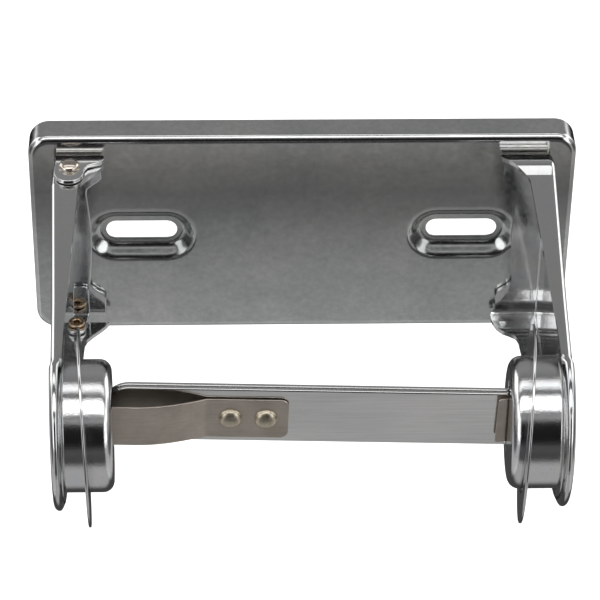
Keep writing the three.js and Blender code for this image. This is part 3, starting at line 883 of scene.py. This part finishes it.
def bar_layer(name, node, back_y, foot_side):
    """One strip of the bar: round at its free end, with a foot bent off at its fixed end."""
    half = BAR_HEIGHT / 2
    left = -(DRUM_FACE_X + BAR_INSERT)
    right = HUB_FACE_X - SHEET - GAP - BAR_FOOT_ROOM
    bend = SHEET + 0.5
    middle = bend - SHEET / 2
    length = middle * math.pi / 2
    end = right - bend + length + BAR_FOOT - bend
    outline = [(end, -half), (end, half)]
    outline += arc((left + BAR_END, half - BAR_END), BAR_END, math.pi / 2, math.pi, 16)
    outline += arc((left + BAR_END, -half + BAR_END), BAR_END, math.pi, 1.5 * math.pi, 16)
    skin = strip(outline, rivet_holes(), SHEET, edge=0.3)
    cut(skin.bm, 0, np.linspace(right - bend, right - bend + length, 8))
    front = back_y - SHEET

    def rule(x, z, w):
        beyond = x - (right - bend)
        if foot_side > 0:
            w = SHEET - w
        depth = bend - w
        if beyond <= 0:
            return (x, front + w if foot_side > 0 else back_y - w, z)
        angle = min(beyond / middle, math.pi / 2)
        along = right - bend + depth * math.sin(angle)
        off = bend - depth * math.cos(angle) + max(0.0, beyond - length)
        return (along, front + off if foot_side > 0 else back_y - off, z)
    moved(skin.bm, rule)
    piece(name, tilted(skin), BAR_METAL, "plate_frame", [node])


def leaf():
    """The latch spring: flat under its rivets, then sprung off the bar and on into the drum."""
    half = LEAF_HEIGHT / 2
    tip = -(DRUM_FACE_X + TONGUE_INSERT)
    outline = rounded([
        (tip, -half, 1.2), (LEAF_END, -half, LEAF_CORNER), (LEAF_END, half, LEAF_CORNER), (tip, half, 1.2),
    ])
    holes = [[(x, z + LEAF_DROP) for x, z in ring] for ring in rivet_holes()]
    skin = strip(outline, holes, LEAF_SHEET, edge=0.16, support=0.12)
    cut(skin.bm, 0, np.linspace(LEAF_BEND + 1.2, LEAF_BEND - 1.2, 6))
    cut(skin.bm, 0, np.linspace(LEAF_BEND - LEAF_RUN, LEAF_BEND - 2, 22))

    def rule(x, z, w):
        share = min(1.0, max(0.0, (LEAF_BEND - x) / LEAF_RUN))
        rise = LEAF_RISE * math.sin(share * math.pi / 2)
        return (x, LEAF_BACK_Y - rise - w, z - LEAF_DROP)
    moved(skin.bm, rule)
    tilted(skin)
    start = TILT @ Vector((LEAF_BEND + 0.5, LEAF_BACK_Y, -LEAF_DROP)) * MM
    end = TILT @ Vector((LEAF_BEND - 0.5, LEAF_BACK_Y, -LEAF_DROP)) * MM
    piece("latch_spring", skin, SPRING_METAL, "plate_frame", ["latch_leaf", "latch_tongue"],
          blend=("latch", tuple(start), tuple(end)))


def clip():
    half = CLIP_HEIGHT / 2
    inner = DRUM_FACE_X + TONGUE_INSERT
    lip = DRUM_FACE_X - CLIP_LIP
    outline = rounded([(lip, -half, 0.7), (inner, -half, 0.5), (inner, half, 0.5), (lip, half, 0.7)])
    skin = strip(outline, [], CLIP_SHEET, edge=0.14, support=0.12)
    cut(skin.bm, 0, np.linspace(lip, inner, 14)[1:-1])

    def rule(x, z, w):
        share = max(0.0, (inner - x) / (inner - lip))
        return (x, LEAF_BACK_Y - CLIP_RISE * share ** CLIP_CURVE - w, z + CLIP_LIFT)
    moved(skin.bm, rule)
    piece("bar_spring_clip", tilted(skin), SPRING_METAL, "plate_frame", ["bar_clip"])


def latch_rivets():
    """Domed heads on the leaf, each with the small flange that its setting tool left."""
    back = BAR_REAR_Y + GAP
    end = back + TAIL_DEPTH
    front = LEAF_BACK_Y - LEAF_SHEET - 0.02
    for index, x in enumerate(rivet_places(), 1):
        dome = [((LATCH_HEAD - 0.25) * math.cos(a), front - 0.3 - (RIVET_RISE - 0.2) * math.sin(a))
                for a in np.linspace(0, math.pi / 2, 12)]
        profile = [(0.0, end), (LATCH_TAIL - TAIL_CHAMFER, end), (LATCH_TAIL, end - TAIL_CHAMFER),
                   (LATCH_TAIL, back), (PIN_RADIUS, back), (PIN_RADIUS, front), (LATCH_HEAD - 0.08, front),
                   (LATCH_HEAD, front - 0.1), (LATCH_HEAD - 0.05, front - 0.24)]
        profile += dome[:-1] + [(0.0, dome[-1][1])]
        skin = turned(profile, PIN_FACETS)
        moved(skin.bm, lambda px, y, z: (x + y, px, z - LEAF_DROP))
        piece(f"latch_dome_{index}", tilted(skin), LATCH_BRASS, "plate_frame",
              [f"latch_rivet_{index}"])


# ---- stage -------------------------------------------------------------------------------------
FLOOR_Z = -0.26


def stage_card(name, corners, colour, glow):
    mesh = bpy.data.meshes.new(name)
    mesh.from_pydata(corners, [], [(0, 1, 2, 3)])
    material = bpy.data.materials.new(name)
    material.use_nodes = True
    surface = material.node_tree.nodes["Principled BSDF"]
    surface.inputs["Base Color"].default_value = (*colour, 1)
    surface.inputs["Roughness"].default_value = 0.9
    surface.inputs["Specular IOR Level"].default_value = 0.0
    surface.inputs["Emission Color"].default_value = (1, 1, 1, 1)
    surface.inputs["Emission Strength"].default_value = glow
    mesh.materials.append(material)
    obj = bpy.data.objects.new(name, mesh)
    SCENE.collection.objects.link(obj)
    return obj


def flat(x0, x1, y0, y1, z):
    return [(x0, y0, z), (x1, y0, z), (x1, y1, z), (x0, y1, z)]


SKY = [
    # how far round from the front horizon, over the top, in turns of a half circle; and how bright
    (0.00, 0.03), (0.06, 0.012), (0.20, 0.02), (0.235, 0.10), (0.262, 0.62), (0.288, 0.14), (0.325, 0.16),
    (0.345, 2.6), (0.455, 2.8), (0.475, 0.16), (0.545, 0.10), (0.562, 1.6), (0.635, 1.4), (0.655, 0.10),
    (0.675, 0.22), (0.80, 0.30), (0.93, 0.25), (0.96, 0.03), (1.00, 0.02),
]
GROUND = [
    # how far below the horizon, as the drop of a unit ray; and how bright
    (0.00, 0.05), (0.08, 0.10), (0.40, 0.07), (0.52, 0.10), (0.55, 0.42), (0.562, 0.40), (0.577, 0.16),
    (0.592, 0.28), (0.615, 0.46), (1.00, 0.44),
]


def sky():
    """A dark studio, by direction: bands of light along X overhead, and a soft box on each side."""
    world = SCENE.world or bpy.data.worlds.new("studio")
    SCENE.world = world
    world.use_nodes = True
    tree = world.node_tree
    background = tree.nodes["Background"]

    def math_node(operation, *values):
        node = tree.nodes.new("ShaderNodeMath")
        node.operation = operation
        for socket, value in zip(node.inputs, values):
            if isinstance(value, (int, float)):
                socket.default_value = value
            else:
                tree.links.new(value, socket)
        return node.outputs[0]

    def ramp(source, stops, interpolation="EASE"):
        node = tree.nodes.new("ShaderNodeValToRGB")
        node.color_ramp.interpolation = interpolation
        set_stops(node, [(position, (value,) * 3) for position, value in stops])
        tree.links.new(source, node.inputs["Fac"])
        return node.outputs["Color"]

    split = tree.nodes.new("ShaderNodeSeparateXYZ")
    tree.links.new(tree.nodes.new("ShaderNodeTexCoord").outputs["Generated"], split.inputs[0])
    x, y, z = split.outputs
    round_top = math_node("DIVIDE", math_node("ARCTAN2", z, math_node("MULTIPLY", y, -1.0)), math.pi)
    above = ramp(round_top, SKY, "LINEAR")
    aside = math_node("ABSOLUTE", x)
    sides = ramp(aside, [(0.0, 1.0), (0.45, 1.0), (0.7, 0.16), (0.8, 0.05), (0.9, 0.5), (0.95, 0.06)])
    below = ramp(math_node("MULTIPLY", z, -1.0), GROUND, "LINEAR")
    ahead = ramp(math_node("ADD", math_node("MULTIPLY", y, -0.5), 0.5), [(0.38, 0.14), (0.55, 1.0)])
    height = ramp(z, [(0.0, 0.0), (0.02, 1.0)])
    depth = ramp(z, [(0.0, 1.0), (0.02, 0.0)])
    lit = math_node("MULTIPLY", math_node("MULTIPLY", above, sides), height)
    ground = math_node("MULTIPLY", math_node("MULTIPLY", below, depth), math_node("MULTIPLY", sides, ahead))
    beside = ramp(aside, [(0.52, 0.0), (0.58, 1.0), (0.84, 1.0), (0.90, 0.2), (1.0, 0.2)])
    level = ramp(math_node("ADD", math_node("MULTIPLY", z, 0.5), 0.5),
                 [(0.0, 0.5), (0.46, 0.5), (0.54, 1.8), (0.78, 1.8), (0.84, 0.1)])
    total = math_node("ADD", math_node("ADD", lit, ground), math_node("MULTIPLY", beside, level))
    tree.links.new(total, background.inputs["Color"])
    background.inputs["Strength"].default_value = 1.0


def studio():
    """A plain pale floor lit by three soft lamps that the metal doesn't mirror."""
    floor = stage_card("floor", flat(-14, 14, -14, 14, FLOOR_Z), (0.35, 0.35, 0.35), glow=0.8)
    floor.visible_glossy = False
    sky()
    for name, place, size, power in (
        ("key", (-0.7, -0.9, 1.5), 0.9, 16),
        ("fill", (0.9, -0.6, 1.3), 0.9, 10),
        ("back", (0, 1.2, 1.4), 1.2, 14),
    ):
        light = bpy.data.lights.new(name, "AREA")
        light.size = size
        light.energy = power
        lamp = bpy.data.objects.new(name, light)
        lamp.location = place
        lamp.rotation_euler = (-Vector(place)).to_track_quat("-Z", "Y").to_euler()
        lamp.visible_glossy = False
        SCENE.collection.objects.link(lamp)


def camera():
    """Looks down at the holder from in front, almost square on, from three quarters of a metre."""
    place = Vector((-22.57, -632.28, 446.61)) * MM
    target = Vector((-1.37, -40.0, 0.01)) * MM
    roll = math.radians(0.83)
    back = (place - target).normalized()
    level = Vector((0, 0, 1)).cross(back).normalized()
    upright = back.cross(level)
    right = level * math.cos(roll) + upright * math.sin(roll)
    up = back.cross(right)
    data = bpy.data.cameras.new("camera")
    data.sensor_width = 36.0
    data.lens = 162.3
    data.clip_start, data.clip_end = 0.01, 20
    obj = bpy.data.objects.new("camera", data)
    obj.matrix_world = Matrix.Translation(place) @ Matrix((right, up, back)).transposed().to_4x4()
    SCENE.collection.objects.link(obj)
    SCENE.camera = obj


camera()
studio()
back_plate()
arms()
bracket()
hinge_pins()
hubs()
discs()
bar_layer("rear_strip", "bar_rear", BAR_REAR_Y, 1)
bar_layer("front_strip", "bar_front", BAR_FRONT_Y + SHEET, -1)
leaf()
clip()
latch_rivets()
SCENE.view_settings.view_transform = "Standard"
